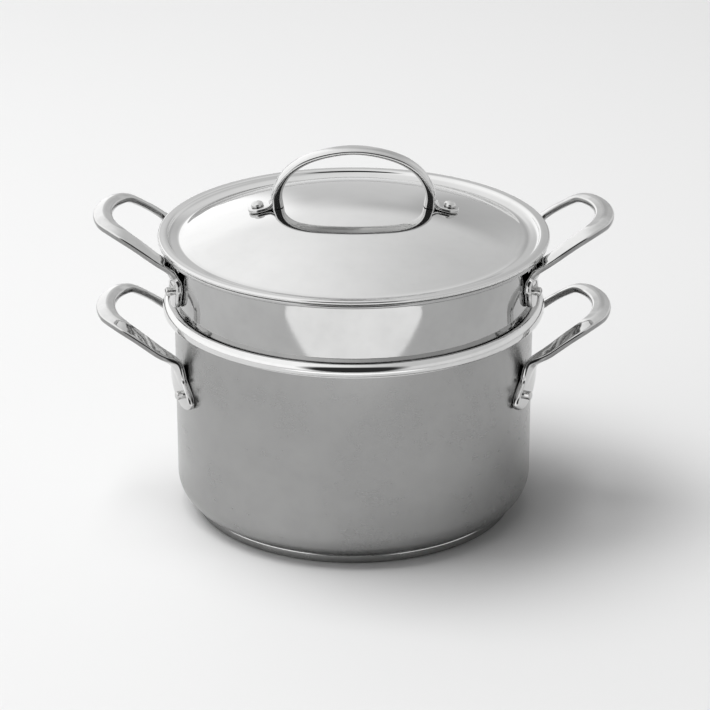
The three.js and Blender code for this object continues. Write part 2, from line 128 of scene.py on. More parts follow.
# Finishes. Shade runs from the dull places to the clean ones; grain is the turning marks round the axis.
finishes = {
    "satinWall": dict(dull=(0.325, 0.325, 0.323), clean=(0.36, 0.36, 0.357), rough=0.24, haze=0.05,
                      grain=0.05, grainPitch=900, bump=0.0, mottle=26),
    # The next finish is the pot's polished rim; on the base cap's top edge it paints a bright highlight line
    "polishedRimAndPaintedHighlight": dict(dull=(0.66, 0.66, 0.657), clean=(0.72, 0.72, 0.717), rough=0.035, haze=0.035,
                     grain=0.02, grainPitch=2200, bump=0.008, mottle=30),
    "potInside": dict(dull=(0.50, 0.50, 0.495), clean=(0.60, 0.60, 0.595), rough=0.24, haze=0.08,
                      grain=0.10, grainPitch=1300, bump=0.06, mottle=30),
    "brightSheet": dict(dull=(0.40, 0.40, 0.398), clean=(0.45, 0.45, 0.448), rough=0.04, haze=0.04,
                        grain=0.02, grainPitch=2200, bump=0.01, mottle=22),
    "lidSheet": dict(dull=(0.64, 0.64, 0.637), clean=(0.68, 0.68, 0.677), rough=0.04, haze=0.03,
                     grain=0.025, grainPitch=2400, bump=0.012, mottle=18),
    "strapSteel": dict(dull=(0.58, 0.58, 0.577), clean=(0.64, 0.64, 0.637), rough=0.04, haze=0.04,
                       grain=0.0, grainPitch=900, bump=0.006, mottle=60),
    # The next finish is a darker, rougher copy of the strap steel that paints shade on the loop handles'
    # narrow sides
    "strapSidePaintedShade": dict(dull=(0.24, 0.24, 0.238), clean=(0.32, 0.32, 0.318), rough=0.13, haze=0.08,
                      grain=0.0, grainPitch=900, bump=0.02, mottle=120),
    "rivetSteel": dict(dull=(0.52, 0.52, 0.515), clean=(0.66, 0.66, 0.655), rough=0.10, haze=0.10,
                       grain=0.0, grainPitch=900, bump=0.015, mottle=160),
    "baseCapSteel": dict(dull=(0.26, 0.26, 0.256), clean=(0.34, 0.34, 0.336), rough=0.26, haze=0.12,
                         grain=0.12, grainPitch=900, bump=0.10, mottle=35),
    "corePlate": dict(dull=(0.46, 0.46, 0.46), clean=(0.58, 0.58, 0.58), rough=0.42, haze=0.12,
                      grain=0.10, grainPitch=700, bump=0.08, mottle=50),
}
# Marks on every finish: coarse mottle and finer smears, shared out over the shade and the roughness
marks = dict(
    mottle=(0.3, 0.72), smear=(0.35, 0.8), smearScale=5.5, shadeShare=0.7, hazeShare=0.55, grainStretch=7.0,
    hairline=1400.0, depth=0.0002,
)


def steel(name):
    look = finishes[name]
    material = bpy.data.materials.new(name)
    material.use_nodes = True
    tree = material.node_tree
    tree.nodes.clear()
    start = Wire(tree)
    place = start.add("ShaderNodeTexCoord", out="Object")
    x, y, z = (place.part(axis) for axis in range(3))
    radius = (x * x + y * y) ** 0.5
    mottle = place.noise(look["mottle"], 3.0, 0.55).rise(*marks["mottle"])
    smear = place.noise(look["mottle"] * marks["smearScale"]).rise(*marks["smear"])
    stretch = marks["grainStretch"]
    turning = start.join(x * stretch, y * stretch, (z + radius) * look["grainPitch"]).noise(1.0, 3.0, 0.65)
    shadeMarks = mottle * marks["shadeShare"] + smear * (1 - marks["shadeShare"])
    shade = shadeMarks.between(look["clean"], look["dull"])
    coarse = look["haze"] * marks["hazeShare"]
    fine = look["haze"] * (1 - marks["hazeShare"])
    rough = look["rough"] + mottle * coarse + smear * fine + (turning - 0.5) * look["grain"]
    relief = turning if look["grain"] else place.noise(marks["hairline"])
    bump = start.add(
        "ShaderNodeBump", None, {"Strength": look["bump"], "Distance": marks["depth"], "Height": relief}
    )
    shader = start.add(
        "ShaderNodeBsdfPrincipled", None,
        {"Base Color": shade, "Roughness": rough, "Metallic": 1.0, "Normal": bump},
    )
    start.add("ShaderNodeOutputMaterial", None, {"Surface": shader})
    return material


steels = {name: steel(name) for name in finishes}
print("finishes made:", len(steels))


# Mesh helpers. Profiles are [radius, height] in millimetres.
def arc(radius, centreRadius, centreHeight, first, last, steps=14):
    points = []
    for i in range(steps + 1):
        angle = math.radians(mixed(first, last, i / steps))
        points.append((centreRadius + radius * math.cos(angle), centreHeight + radius * math.sin(angle)))
    return points


def ringVerts(shape, radius, height, sides, x=0.0, y=0.0):
    ring = []
    for k in range(sides):
        turn = 2 * math.pi * k / sides
        across, along = x + radius * math.cos(turn), y + radius * math.sin(turn)
        ring.append(shape.verts.new((across * mm, along * mm, height * mm)))
    return ring


# A band of faces between two closed rings of as many points
def bridge(shape, low, high):
    count = len(low)
    return [
        shape.faces.new((low[k], low[(k + 1) % count], high[(k + 1) % count], high[k]))
        for k in range(count)
    ]


def addTurned(shape, profile, sides):
    rings = []
    for radius, height in profile:
        if radius < 1e-6:
            rings.append([shape.verts.new((0, 0, height * mm))])
        else:
            rings.append(ringVerts(shape, radius, height, sides))
    for low, high in zip(rings, rings[1:]):
        if len(low) == len(high):
            bridge(shape, low, high)
            continue
        pole, rim = (low[0], high) if len(low) == 1 else (high[0], low)
        for k in range(sides):
            shape.faces.new((pole, rim[k], rim[(k + 1) % sides]))


def finishMesh(shape, name, sharp=35):
    bmesh.ops.remove_doubles(shape, verts=shape.verts, dist=weldGap)
    bmesh.ops.recalc_face_normals(shape, faces=shape.faces)
    mesh = bpy.data.meshes.new(name)
    shape.to_mesh(mesh)
    shape.free()
    mesh.polygons.foreach_set("use_smooth", [True] * len(mesh.polygons))
    mesh.set_sharp_from_angle(angle=math.radians(sharp))
    piece = bpy.data.objects.new(name, mesh)
    bpy.context.scene.collection.objects.link(piece)
    return piece


def turnedPiece(name, profile, sides=192, sharp=35):
    shape = bmesh.new()
    addTurned(shape, profile, sides)
    return finishMesh(shape, name, sharp)


def dress(piece, coats, body, nodes):
    if not piece.data.materials:
        for coat in coats:
            piece.data.materials.append(steels[coat])
    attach(piece, body)
    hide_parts(*nodes)


# Pot and its base. The rim's bends are radius, first and last angle; its inner flank is in and down
# from the crest.
pot = dict(
    radius=132.5, wall=2.5, height=163.5, corner=20, floor=5.5, lipRadius=141, lipBend=3.6, lipRoll=4.6,
    rimInset=2.1, rimBends=((2.0, -90, -10), (7.66, -10, 50), (1.5, 50, 90)), crestBend=1.5, crestEnd=112,
    innerFlank=((4.4, 1.66), (5.7, 2.5)), innerTurn=150,
)
base = dict(radius=119.2, height=6.1, sheet=1.0, edge=1.0, lipEdge=1.0, lipWidth=1.8, lipFall=0.2, midRing=60)
potFlare = pot["height"] - pot["wall"] - pot["lipBend"]


# A wall that turns out into a lip: up the outside, round the rolled edge and down the inside
def lipProfile(flare, sheet, edge, roll, turnIn=90):
    centre = pot["radius"] + pot["lipBend"]
    top = flare + pot["lipBend"] + sheet
    return [
        *arc(pot["lipBend"], centre, top - 2 * edge - pot["lipBend"], 180, 90),
        *roll,
        *arc(pot["lipBend"] + sheet, centre, flare, turnIn, 180),
    ]


# The pot's rolled rim, from its underside over the flatter outer face to the crest and the inner flank
def rimRoll():
    points = []
    reach = pot["lipRadius"] - pot["rimInset"]
    height = pot["height"] - 2 * pot["lipRoll"]
    for radius, first, last in pot["rimBends"]:
        start = math.radians(first)
        centre = reach - radius * math.cos(start), height - radius * math.sin(start)
        bend = arc(radius, *centre, first, last, 10)
        reach, height = bend[-1]
        points += bend
    points += arc(pot["crestBend"], reach, height - pot["crestBend"], 90, pot["crestEnd"], 5)
    return points + [(reach - inward, height - drop) for inward, drop in pot["innerFlank"]]


def makePot():
    floor, wall = pot["floor"], pot["wall"]
    cornerRadius = pot["radius"] - pot["corner"]
    cornerHeight = floor + pot["corner"]
    piece = turnedPiece("potShell", [
        (0, floor),
        (cornerRadius / 2, floor),
        *arc(pot["corner"], cornerRadius, cornerHeight, -90, 0),
        *lipProfile(potFlare, wall, pot["lipRoll"], rimRoll(), pot["innerTurn"]),
        *arc(pot["corner"] - wall, cornerRadius, cornerHeight, 0, -90),
        (cornerRadius / 2, floor + wall),
        (0, floor + wall),
    ])
    underRim = pot["height"] - 2 * pot["lipRoll"] - pot["lipBend"]
    for face in piece.data.polygons:
        middle, normal = face.center, face.normal
        inward = normal.x * middle.x + normal.y * middle.y < -1e-9
        insideFloor = middle.z > (floor + wall / 2) * mm and normal.z > 0.9
        if middle.z > (potFlare if inward else underRim) * mm:
            face.material_index = 2
        elif inward or insideFloor:
            face.material_index = 1
    dress(piece, ["satinWall", "potInside", "polishedRimAndPaintedHighlight"], "pot", ["pot_body"])


def makeBase():
    inside = base["radius"] - base["lipWidth"]
    lipStart = base["height"] - base["lipEdge"]
    cap = turnedPiece("baseCap", [
        (0, 0),
        (base["midRing"], 0),
        *arc(base["edge"], base["radius"] - base["edge"], base["edge"], -90, 0, 10),
        *arc(base["lipEdge"], base["radius"] - base["lipEdge"], lipStart, 0, 90, 8),
        (inside, base["height"] - base["lipFall"]),
        (inside, base["sheet"]),
        (base["midRing"], base["sheet"]),
        (0, base["sheet"]),
    ])
    # The cap's top edge takes the bright rim finish, a painted highlight line
    for face in cap.data.polygons:
        if face.center.z > (lipStart + base["lipEdge"] / 4) * mm:
            face.material_index = 1
    dress(cap, ["baseCapSteel", "polishedRimAndPaintedHighlight"], "pot", ["base_cap"])
    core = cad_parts["base_core"]
    core.data.materials.clear()
    core.data.materials.append(steels["corePlate"])


makePot()
makeBase()
print("pot and base made")


# Strainer insert: a band of hole tiles bent round the basket, closed by turned sheets above and below
insert = dict(
    sheet=1.2, basketRadius=126, underside=24, corner=12, stepBend=2, shoulderBend=4, footBend=1.2,
    footRise=0.9, height=209.4, lipRadius=142.9, lipRoll=1.5, underLip=4.0, ringStep=0.3, columns=18, rows=6,
    firstRow=46, plainBand=23, startTurn=5, holeRadius=4.2, cellAcross=8, cellUp=6, tileWeld=5e-6,
    floorHole=4, floorHoleSides=24, floorRings=3, floorPitch=28,
)


# Where the insert's shoulder comes to rest in the bend of the pot's lip
def shoulderHeight():
    apart = pot["lipBend"] + pot["wall"] + insert["shoulderBend"] + seatGap
    across = pot["lipBend"] + insert["shoulderBend"]
    return potFlare + math.sqrt(apart ** 2 - across ** 2) - insert["shoulderBend"]


# A flat plate with one round hole: x along the wall, y through the sheet, z up
def holeTile(width, height, rings=4):
    w, h, hole = width / 2, height / 2, insert["holeRadius"]
    corners = [(-w, -h), (w, -h), (w, h), (-w, h)]
    counts = [insert["cellAcross"], insert["cellUp"]] * 2
    outline = []
    for (x, z), (nextX, nextZ), count in zip(corners, corners[1:] + corners[:1], counts):
        outline += [(mixed(x, nextX, k / count), mixed(z, nextZ, k / count)) for k in range(count)]
    shape = bmesh.new()
    holes = []
    for depth in (0.0, insert["sheet"]):
        loops = []
        for ring in range(rings + 1):
            share = (ring / rings) ** 1.5
            loop = []
            for x, z in outline:
                reach = math.hypot(x, z)
                across, up = mixed(hole * x / reach, x, share), mixed(hole * z / reach, z, share)
                loop.append(shape.verts.new((across * mm, depth * mm, up * mm)))
            loops.append(loop)
        for near, far in zip(loops, loops[1:]):
            bridge(shape, near, far)
        holes.append(loops[0])
    bridge(shape, *holes)
    mesh = bpy.data.meshes.new("holeTile")
    shape.to_mesh(mesh)
    shape.free()
    return bpy.data.objects.new("holeTile", mesh)


# A Geometry Nodes tree with named inputs: its first wire, its sockets by label and its given values
def newTree(name, inputs):
    tree = bpy.data.node_groups.new(name, "GeometryNodeTree")
    face = tree.interface
    face.new_socket("Geometry", in_out="INPUT", socket_type="NodeSocketGeometry")
    sockets = {}
    for label, kind in inputs.items():
        sockets[label] = face.new_socket(label, in_out="INPUT", socket_type="NodeSocket" + kind).identifier
    face.new_socket("Geometry", in_out="OUTPUT", socket_type="NodeSocketGeometry")
    entry = tree.nodes.new("NodeGroupInput")
    given = {label: Wire(tree, entry.outputs[label]) for label in sockets}
    return Wire(tree), sockets, given


# Rows of tiles, every other row moved by half a cell, bent round the axis
def perforationTree():
    start, sockets, given = newTree("perforatedBand", {
        "Tile": "Object", "Columns": "Int", "Rows": "Int", "Cell Width": "Float", "Row Pitch": "Float",
        "First Row": "Float", "Radius": "Float", "Start Turn": "Float", "Finish": "Material",
    })
    line = start.add("GeometryNodeMeshLine", None, {"Count": given["Columns"] * given["Rows"]})
    number = start.add("GeometryNodeInputIndex")
    row = start.math("FLOOR", number / given["Columns"])
    column = number - row * given["Columns"]
    shift = start.math("MODULO", row, 2.0) * 0.5
    across = (column + shift) * given["Cell Width"]
    spot = start.join(across, 0.0, given["First Row"] + row * given["Row Pitch"])
    points = start.add("GeometryNodeSetPosition", None, {"Geometry": line, "Position": spot})
    tile = start.add("GeometryNodeObjectInfo", None, {"Object": given["Tile"]}, "Geometry")
    tiles = start.add("GeometryNodeInstanceOnPoints", None, {"Points": points, "Instance": tile})
    flat = start.add("GeometryNodeRealizeInstances", None, {"Geometry": tiles})
    position = start.add("GeometryNodeInputPosition")
    along, depth, height = (position.part(axis) for axis in range(3))
    turn = along / given["Radius"] + given["Start Turn"]
    reach = given["Radius"] - depth
    bentSpot = start.join(reach * start.math("COSINE", turn), reach * start.math("SINE", turn), height)
    bent = start.add("GeometryNodeSetPosition", None, {"Geometry": flat, "Position": bentSpot})
    weld = {"Geometry": bent, "Distance": insert["tileWeld"]}
    welded = start.add("GeometryNodeMergeByDistance", None, weld)
    dressed = start.add("GeometryNodeSetMaterial", None, {"Geometry": welded, "Material": given["Finish"]})
    start.add("NodeGroupOutput", None, {0: dressed})
    return start.tree, sockets


# Runs a tree on an empty mesh and keeps the result as a plain mesh
def runTree(name, tree, sockets, values):
    carrier = bpy.data.objects.new(name, bpy.data.meshes.new(name))
    bpy.context.scene.collection.objects.link(carrier)
    modifier = carrier.modifiers.new(name, "NODES")
    modifier.node_group = tree
    for label, value in values.items():
        modifier[sockets[label]] = value
    carrier.update_tag()
    shown = carrier.evaluated_get(bpy.context.evaluated_depsgraph_get())
    result = bpy.data.meshes.new_from_object(shown)
    carrier.modifiers.clear()
    carrier.data = result
    return carrier


# One face of the basket's floor, and the edges of its holes
def addFloor(shape, height, sides):
    hole, holeSides = insert["floorHole"], insert["floorHoleSides"]
    outer = ringVerts(shape, insert["basketRadius"] - insert["corner"], height, sides)
    holes = [ringVerts(shape, hole, height, holeSides)]
    for ring in range(1, insert["floorRings"] + 1):
        reach = ring * insert["floorPitch"]
        for k in range(6 * ring):
            turn = k * math.pi / (3 * ring)
            x, y = reach * math.cos(turn), reach * math.sin(turn)
            holes.append(ringVerts(shape, hole, height, holeSides, x, y))
    edges = []
    for loop in [outer, *holes]:
        edges += [shape.edges.new(pair) for pair in zip(loop, loop[1:] + loop[:1])]
    bmesh.ops.triangle_fill(shape, edges=edges, use_beauty=True, use_dissolve=False)
    return holes


def makeInsert():
    sheet, reach, corner = insert["sheet"], insert["basketRadius"], insert["corner"]
    sides = insert["columns"] * insert["cellAcross"]
    cellWidth = 2 * math.pi * reach / insert["columns"]
    shoulder = shoulderHeight()
    rowPitch = (shoulder - insert["plainBand"] - insert["firstRow"]) / (insert["rows"] - 1)
    tile = holeTile(cellWidth, rowPitch)
    band = runTree("perforatedBand", *perforationTree(), {
        "Tile": tile, "Columns": insert["columns"], "Rows": insert["rows"], "Cell Width": cellWidth * mm,
        "Row Pitch": rowPitch * mm, "First Row": insert["firstRow"] * mm, "Radius": reach * mm,
        "Start Turn": math.radians(insert["startTurn"]), "Finish": steels["brightSheet"],
    })
    shape = bmesh.new()
    shape.from_mesh(band.data)
    bpy.data.objects.remove(band)
    bpy.data.objects.remove(tile)
    low = insert["firstRow"] - rowPitch / 2
    high = low + insert["rows"] * rowPitch
    for inset in (0, sheet):
        bend = arc(corner - inset, reach - corner, insert["underside"] + corner, -90, 0)
        addTurned(shape, [*bend, (reach - inset, low)], sides)
    stepCentre = (reach + insert["stepBend"], shoulder - insert["stepBend"])
    shoulderCentre = (pot["radius"] - insert["shoulderBend"], shoulder + insert["shoulderBend"])
    flare = insert["height"] - sheet - pot["lipBend"]
    foot = shoulder + insert["footBend"] + insert["footRise"]
    rollCentre = (insert["lipRadius"] - insert["lipRoll"], insert["height"] - insert["lipRoll"])
    roll = arc(insert["lipRoll"], *rollCentre, -90, 90, 12)
    # Close rings at both ends of the straight collar keep its mirror image true
    step, top = insert["ringStep"], flare - insert["underLip"]
    collar = [(pot["radius"], height) for height in (foot + step, foot + 2 * step, top, top + step)]
    addTurned(shape, [
        (reach, high),
        *arc(insert["stepBend"], *stepCentre, 180, 90, 6),
        (shoulderCentre[0], shoulder),
        *arc(insert["footBend"], pot["radius"] - insert["footBend"], foot, -90, 0, 8),
        *collar,
        *lipProfile(flare, sheet, insert["lipRoll"], roll),
        *arc(insert["shoulderBend"] - sheet, *shoulderCentre, 0, -90, 8),
        *arc(insert["stepBend"] + sheet, *stepCentre, 90, 180, 6),
        (reach - sheet, high),
    ], sides)
    under = addFloor(shape, insert["underside"], sides)
    over = addFloor(shape, insert["underside"] + sheet, sides)
    for lower, upper in zip(under, over):
        bridge(shape, lower, upper)
    piece = finishMesh(shape, "strainerBasket", sharp=40)
    dress(piece, ["brightSheet"], "insert", ["strainer_insert"])


makeInsert()
print("strainer insert made")


# Straps: a rounded section carried along a smooth path through a few points
def pathPoint(points, share):
    along = share * (len(points) - 1)
    first = min(int(along), len(points) - 2)
    blend = along - first
    b, c = points[first], points[first + 1]
    a = points[first - 1] if first > 0 else b * 2 - c
    d = points[first + 2] if first + 2 < len(points) else c * 2 - b
    times = [0.0]
    for low, high in ((a, b), (b, c), (c, d)):
        times.append(times[-1] + max((high - low).length, 1e-9) ** 0.5)
    at = mixed(times[1], times[2], blend)

    def mix(p, q, low, high):
        return p * ((high - at) / (high - low)) + q * ((at - low) / (high - low))

    ab, bc, cd = mix(a, b, *times[0:2]), mix(b, c, *times[1:3]), mix(c, d, *times[2:4])
    abc, bcd = mix(ab, bc, times[0], times[2]), mix(bc, cd, times[1], times[3])
    return mix(abc, bcd, times[1], times[2])


def easeCurve(points, steps=10):
    path = [Vector((radius, height, 0)) for radius, height in points]
    count = steps * (len(path) - 1)
    return [tuple(pathPoint(path, i / count)[:2]) for i in range(count + 1)]


# A flat bar's section: slightly crowned faces and rounded edges
def sectionPoints(width, thickness, edge, crown=0.45, steps=6):
    w, t = width / 2, thickness / 2
    bend = min(edge, t * 0.8, w * 0.8)
    swell = crown * min(1.0, t / 2)
    points = []
    for turn, across, up in ((0, 1, 1), (90, -1, 1), (180, -1, -1), (270, 1, -1)):
        for k in range(steps + 1):
            angle = math.radians(turn + 90 * k / steps)
            x, y = bend * math.cos(angle), bend * math.sin(angle)
            points.append((across * (w - bend) + x, up * (t - bend) + y))
        if turn in (0, 180):
            for share in (0.5, 0.0, -0.5):
                points.append((across * share * (w - bend), up * (t + swell * (1 - share ** 2))))
        else:
            points.append((across * w, 0.0))
    return points


# The section's faces along its two narrow sides, counted round from its first point; on the loop handles they
# carry painted shade
sectionCount = len(sectionPoints(1, 1, 0))
sideMiddles = (sectionCount // 2 - 1, sectionCount - 1)
paintedShadeSides = {(middle + step) % sectionCount for middle in sideMiddles for step in range(-3, 3)}


def smoothStep(value, low, high):
    share = min(max((value - low) / (high - low), 0.0), 1.0)
    return share * share * (3 - 2 * share)


# How full a rounded end is at some distance from its tip
def roundEnd(distance, radius, least):
    return math.sqrt(max(least, 1 - (1 - min(distance / radius, 1.0)) ** 2))


# Frames along a strap: middle, sideways, up, width and thickness. A power over 1 sets them closer at
# the start.
def strapFrames(stations, points, steps, reach, power=1.0):
    nudge = 1e-4
    frames = []
    for i in range(steps + 1):
        share = (i / steps) ** power * reach
        along = share * (len(points) - 1)
        first = min(int(along), len(stations) - 2)
        blend = along - first
        (_, upA, widthA, thickA), (_, upB, widthB, thickB) = stations[first], stations[first + 1]
        forward = pathPoint(points, min(share + nudge, 1)) - pathPoint(points, max(share - nudge, 0))
        side = upA.lerp(upB, blend).cross(forward).normalized()
        up = forward.normalized().cross(side)
        width, thickness = mixed(widthA, widthB, blend), mixed(thickA, thickB, blend)
        frames.append((pathPoint(points, share), side, up, width, thickness))
    return frames


def tubeMesh(name, runs, edges=(), fromEnd=0):
    shape = bmesh.new()
    for rings in runs:
        made = [[shape.verts.new(point * mm) for point in ring] for ring in rings]
        for step, (low, high) in enumerate(zip(made, made[1:])):
            away = fromEnd < step < len(made) - fromEnd
            for k, face in enumerate(bridge(shape, low, high)):
                # Listed faces away from the ends take the second finish, which on the loop handles is painted
                # shade
                face.material_index = 1 if away and k in edges else 0
        for ring in (made[0], made[-1]):
            shape.faces.new(ring)
    return finishMesh(shape, name, sharp=60)


def mirrored(point, axis):
    other = point.copy()
    other[axis] = -other[axis]
    return other


# Add the other half of a path or of a strap's rings, without the middle twice
def bothHalves(points, axis):
    return points + [mirrored(point, axis) for point in reversed(points[:-1])]


def mirrorRings(rings, axis):
    return rings + [[mirrored(point, axis) for point in ring] for ring in reversed(rings[:-1])]


# Loop handles. The leg grows and the lug starts to fade at shares of the lug's lower half, and the fade
# ends some millimetres above the lug's middle.
sideLoop = dict(
    reach=183.4, lift=45, spread=46.5, loopWidth=14, legWidth=12, rootWidth=22, thickness=5, lugRadius=132.8,
    lugThickness=5, aboveLug=7, backDrift=0.3, kneeOut=0.06, kneeLift=0.38, legGrows=(0.6, 1.2),
    fadeStart=1.6, fadeEnd=17, leastWidth=0.3, endRound=2.0, edge=1.9, crown=0.9, legCrown=0.45, steps=120,
    # The last key counts the rings at each end left without the painted shade on the narrow sides
    crowding=1.5, paintedShadeFrom=60,
)
# Half a loop: shares of reach, spread and lift, degrees of tilt and roll, growth from leg to full width
loopShape = [
    (0.12, 1.0, 0.60, 40, 10, 0.0),
    (0.40, 0.95, 0.80, 28, 16, 0.0),
    (0.68, 0.84, 0.96, 13, 13, 0.5),
    (0.90, 0.52, 1.00, 0, 6, 1.0),
    (1.00, 0.0, 1.01, -6, 0, 1.0),
]
potLug = dict(angle=20.5, height=109, width=47, below=9.8, slant=22, drift=-1.6, rivetTurn=4.5, rivetDrop=2.5)
insertLug = dict(angle=17, height=181, width=23, below=13, slant=0, drift=0.0, rivetTurn=0.6, rivetDrop=0)
lugFace = sideLoop["lugRadius"] + sideLoop["lugThickness"]


def onWall(angle, height, radius):
    turn = math.radians(angle)
    return Vector((radius * math.cos(turn), radius * math.sin(turn), height))


def handleStations(lug):
    middle = sideLoop["lugRadius"] + sideLoop["lugThickness"] / 2
    rise = sideLoop["reach"] - lugFace
    angle, height, lift = lug["angle"], lug["height"], sideLoop["lift"]
    root, leg, thickness = sideLoop["rootWidth"], sideLoop["legWidth"], sideLoop["thickness"]
    inward = -onWall(angle, 0, 1.0)
    foot = onWall(angle, height, middle)
    kneeReach, kneeSpread = foot.x + rise * sideLoop["kneeOut"], (foot.y + sideLoop["spread"]) / 2
    knee = Vector((kneeReach, kneeSpread, height + lift * sideLoop["kneeLift"]))
    spots = [
        (onWall(angle + lug["drift"], height - lug["below"], middle), root),
        (foot, root),
        (onWall(angle - lug["drift"] * sideLoop["backDrift"], height + sideLoop["aboveLug"], middle), root),
        (knee, (root + leg) / 2),
    ]
    stations = [(spot, inward, width, thickness) for spot, width in spots]
    for out, spread, up, tilt, roll, grown in loopShape:
        lean = math.radians(tilt)
        stations.append((
            Vector((lugFace + rise * out, sideLoop["spread"] * spread, height + lift * up)),
            Vector((-math.sin(lean), math.tan(math.radians(roll)), math.cos(lean))).normalized(),
            mixed(leg, sideLoop["loopWidth"], grown),
            thickness,
        ))
    return stations


# The oval lug, run together with the leg that leaves it
def lugWidth(lug, climb, width):
    offMiddle = (climb - lug["below"]) / lug["below"]
    pad = lug["width"] * math.sqrt(max(0.0, 1 - offMiddle ** 2))
    leg = width * smoothStep(climb, *[lug["below"] * share for share in sideLoop["legGrows"]])
    return max((pad ** 4 + leg ** 4) ** 0.25, sideLoop["leastWidth"])


def handleRings(lug):
    stations = handleStations(lug)
    points = bothHalves([station[0] for station in stations], 1)
    turn, slant = math.radians(lug["angle"]), math.radians(lug["slant"])
    tangent = Vector((-math.sin(turn), math.cos(turn), 0))
    flat = tangent * math.cos(slant) - Vector((0, 0, 1)) * math.sin(slant)
    growth = sideLoop["loopWidth"] - sideLoop["legWidth"]
    fade = lug["below"] * sideLoop["fadeStart"], lug["below"] + sideLoop["fadeEnd"]
    rings = []
    frames = strapFrames(stations, points, sideLoop["steps"], reach=0.5, power=sideLoop["crowding"])
    for centre, side, up, width, thickness in frames:
        climb = centre.z - (lug["height"] - lug["below"])
        onLug = 1 - smoothStep(climb, *fade)
        wide = lugWidth(lug, climb, width)
        thick = thickness * roundEnd(climb, sideLoop["endRound"], least=0.02)
        sense = 1.0 if side.dot(tangent) > 0 else -1.0
        side = side.lerp(flat * sense, onLug).normalized()
        onLoop = min(max((width - sideLoop["legWidth"]) / growth, 0.0), 1.0)
        crown = sideLoop["crown"] * onLoop * (1 - onLug) + sideLoop["legCrown"]
        wallRadius = math.hypot(centre.x, centre.y)
        ring = []
        for w, t in sectionPoints(wide, thick, sideLoop["edge"], crown):
            point = centre + side * w + up * t
            pull = ((wallRadius - t) / math.hypot(point.x, point.y)) ** onLug
            ring.append(Vector((point.x * pull, point.y * pull, point.z)))
        rings.append(ring)
    return mirrorRings(rings, 1)


def makeSideHandles(prefix, lug, body):
    right = handleRings(lug)
    left = [[mirrored(point, 0) for point in ring] for ring in right]
    for side, rings in (("right", right), ("left", left)):
        name = prefix + "Loop" + side.capitalize()
        # The narrow sides get the darker strap finish as painted shade
        piece = tubeMesh(name, [rings], paintedShadeSides, sideLoop["paintedShadeFrom"])
        dress(piece, ["strapSteel", "strapSidePaintedShade"], body, [prefix + "_handle_" + side])


makeSideHandles("pot", potLug, "pot")
makeSideHandles("insert", insertLug, "insert")
print("loop handles made")


# Lid. Its flank is in from the dome's foot; its brim is out from the foot and up from the trough.
lid = dict(
    seat=209.7, sheet=1.6, radius=143.8, bead=1.5, domeRadius=125.8, rise=26.3, trough=209.3, rim=212.7,
    domeEnd=12, flank=(8, 3),
    brim=((0.6, 0.3), (3.0, -0.05), (6.0, 0.4), (9.1, 1.1), (9.9, 1.55), (10.8, 3.0), (11.8, 3.4)),
    underBrim=((10.3, 0.4), (8.4, 0.4), (6.9, -0.1), (4.1, -1.65), (0.4, -1.3)),
)
domeCurve = (lid["domeRadius"] ** 2 + lid["rise"] ** 2) / (2 * lid["rise"])


def domeHeight(radius):
    return lid["seat"] + lid["rise"] - domeCurve + math.sqrt(domeCurve ** 2 - radius ** 2)


def domeTilt(radius):
    return math.asin(radius / domeCurve)


def domePoint(radius, depth=0.0):
    tilt = domeTilt(radius)
    return max(radius - depth * math.sin(tilt), 0.0), domeHeight(radius) - depth * math.cos(tilt)


def domeProfile(depth, steps=40):
    reach = lid["domeRadius"] - lid["domeEnd"]
    return [domePoint(reach * i / steps, depth) for i in range(steps + 1)]


def makeLid():
    foot, trough = lid["domeRadius"], lid["trough"]
    flank = [foot - inset for inset in lid["flank"]]
    beadCentre = (lid["radius"] - lid["bead"], lid["rim"] - lid["bead"])
    top = easeCurve([
        *[domePoint(radius) for radius in flank],
        *[(foot + out, trough + up) for out, up in lid["brim"]],
        (beadCentre[0], lid["rim"]),
    ])
    under = easeCurve([
        *[(foot + out, trough + up) for out, up in lid["underBrim"]],
        *[domePoint(radius, lid["sheet"]) for radius in reversed(flank)],
    ])
    piece = turnedPiece("lidDome", [
        *domeProfile(0.0),
        *top,
        *arc(lid["bead"], *beadCentre, 84, -90, 16),
        *under,
        *reversed(domeProfile(lid["sheet"])),
    ], sides=224, sharp=30)
    dress(piece, ["lidSheet"], "lid", ["lid"])


# Arched handle and its tabs
archHandle = dict(
    height=38.6, span=55.6, topWidth=14.5, topThickness=3.2, legWidth=12, legThickness=8, footBlend=7,
    edge=2.2, edgeShare=0.42, steps=110, tabWidth=16, tabThickness=3, tabReach=69.5, tabEdge=1.2,
    tabCrown=0.2, tabSteps=60,
)
# Half the arch: shares of span and height, degrees of lean, growth from the top's section to the leg's
archShape = [
    (1.01, 0.105, 80, 0.92),
    (0.96, 0.35, 62, 0.66),
    (0.83, 0.605, 46, 0.42),
    (0.56, 0.845, 24, 0.2),
    (0.0, 1.0, 0, 0.0),
]
# A tab from its end to the leg: reach, lift, degrees of lean, share of its width
tabShape = [
    (77.2, 0.0, 0, 1.0),
    (69.5, 0.0, 0, 1.0),
    (64.5, 0.0, 0, 0.9),
    (61.2, 0.7, 24, 0.78),
    (59.2, 3.0, 58, 0.72),
    (57.8, 7.5, 80, 0.68),
]


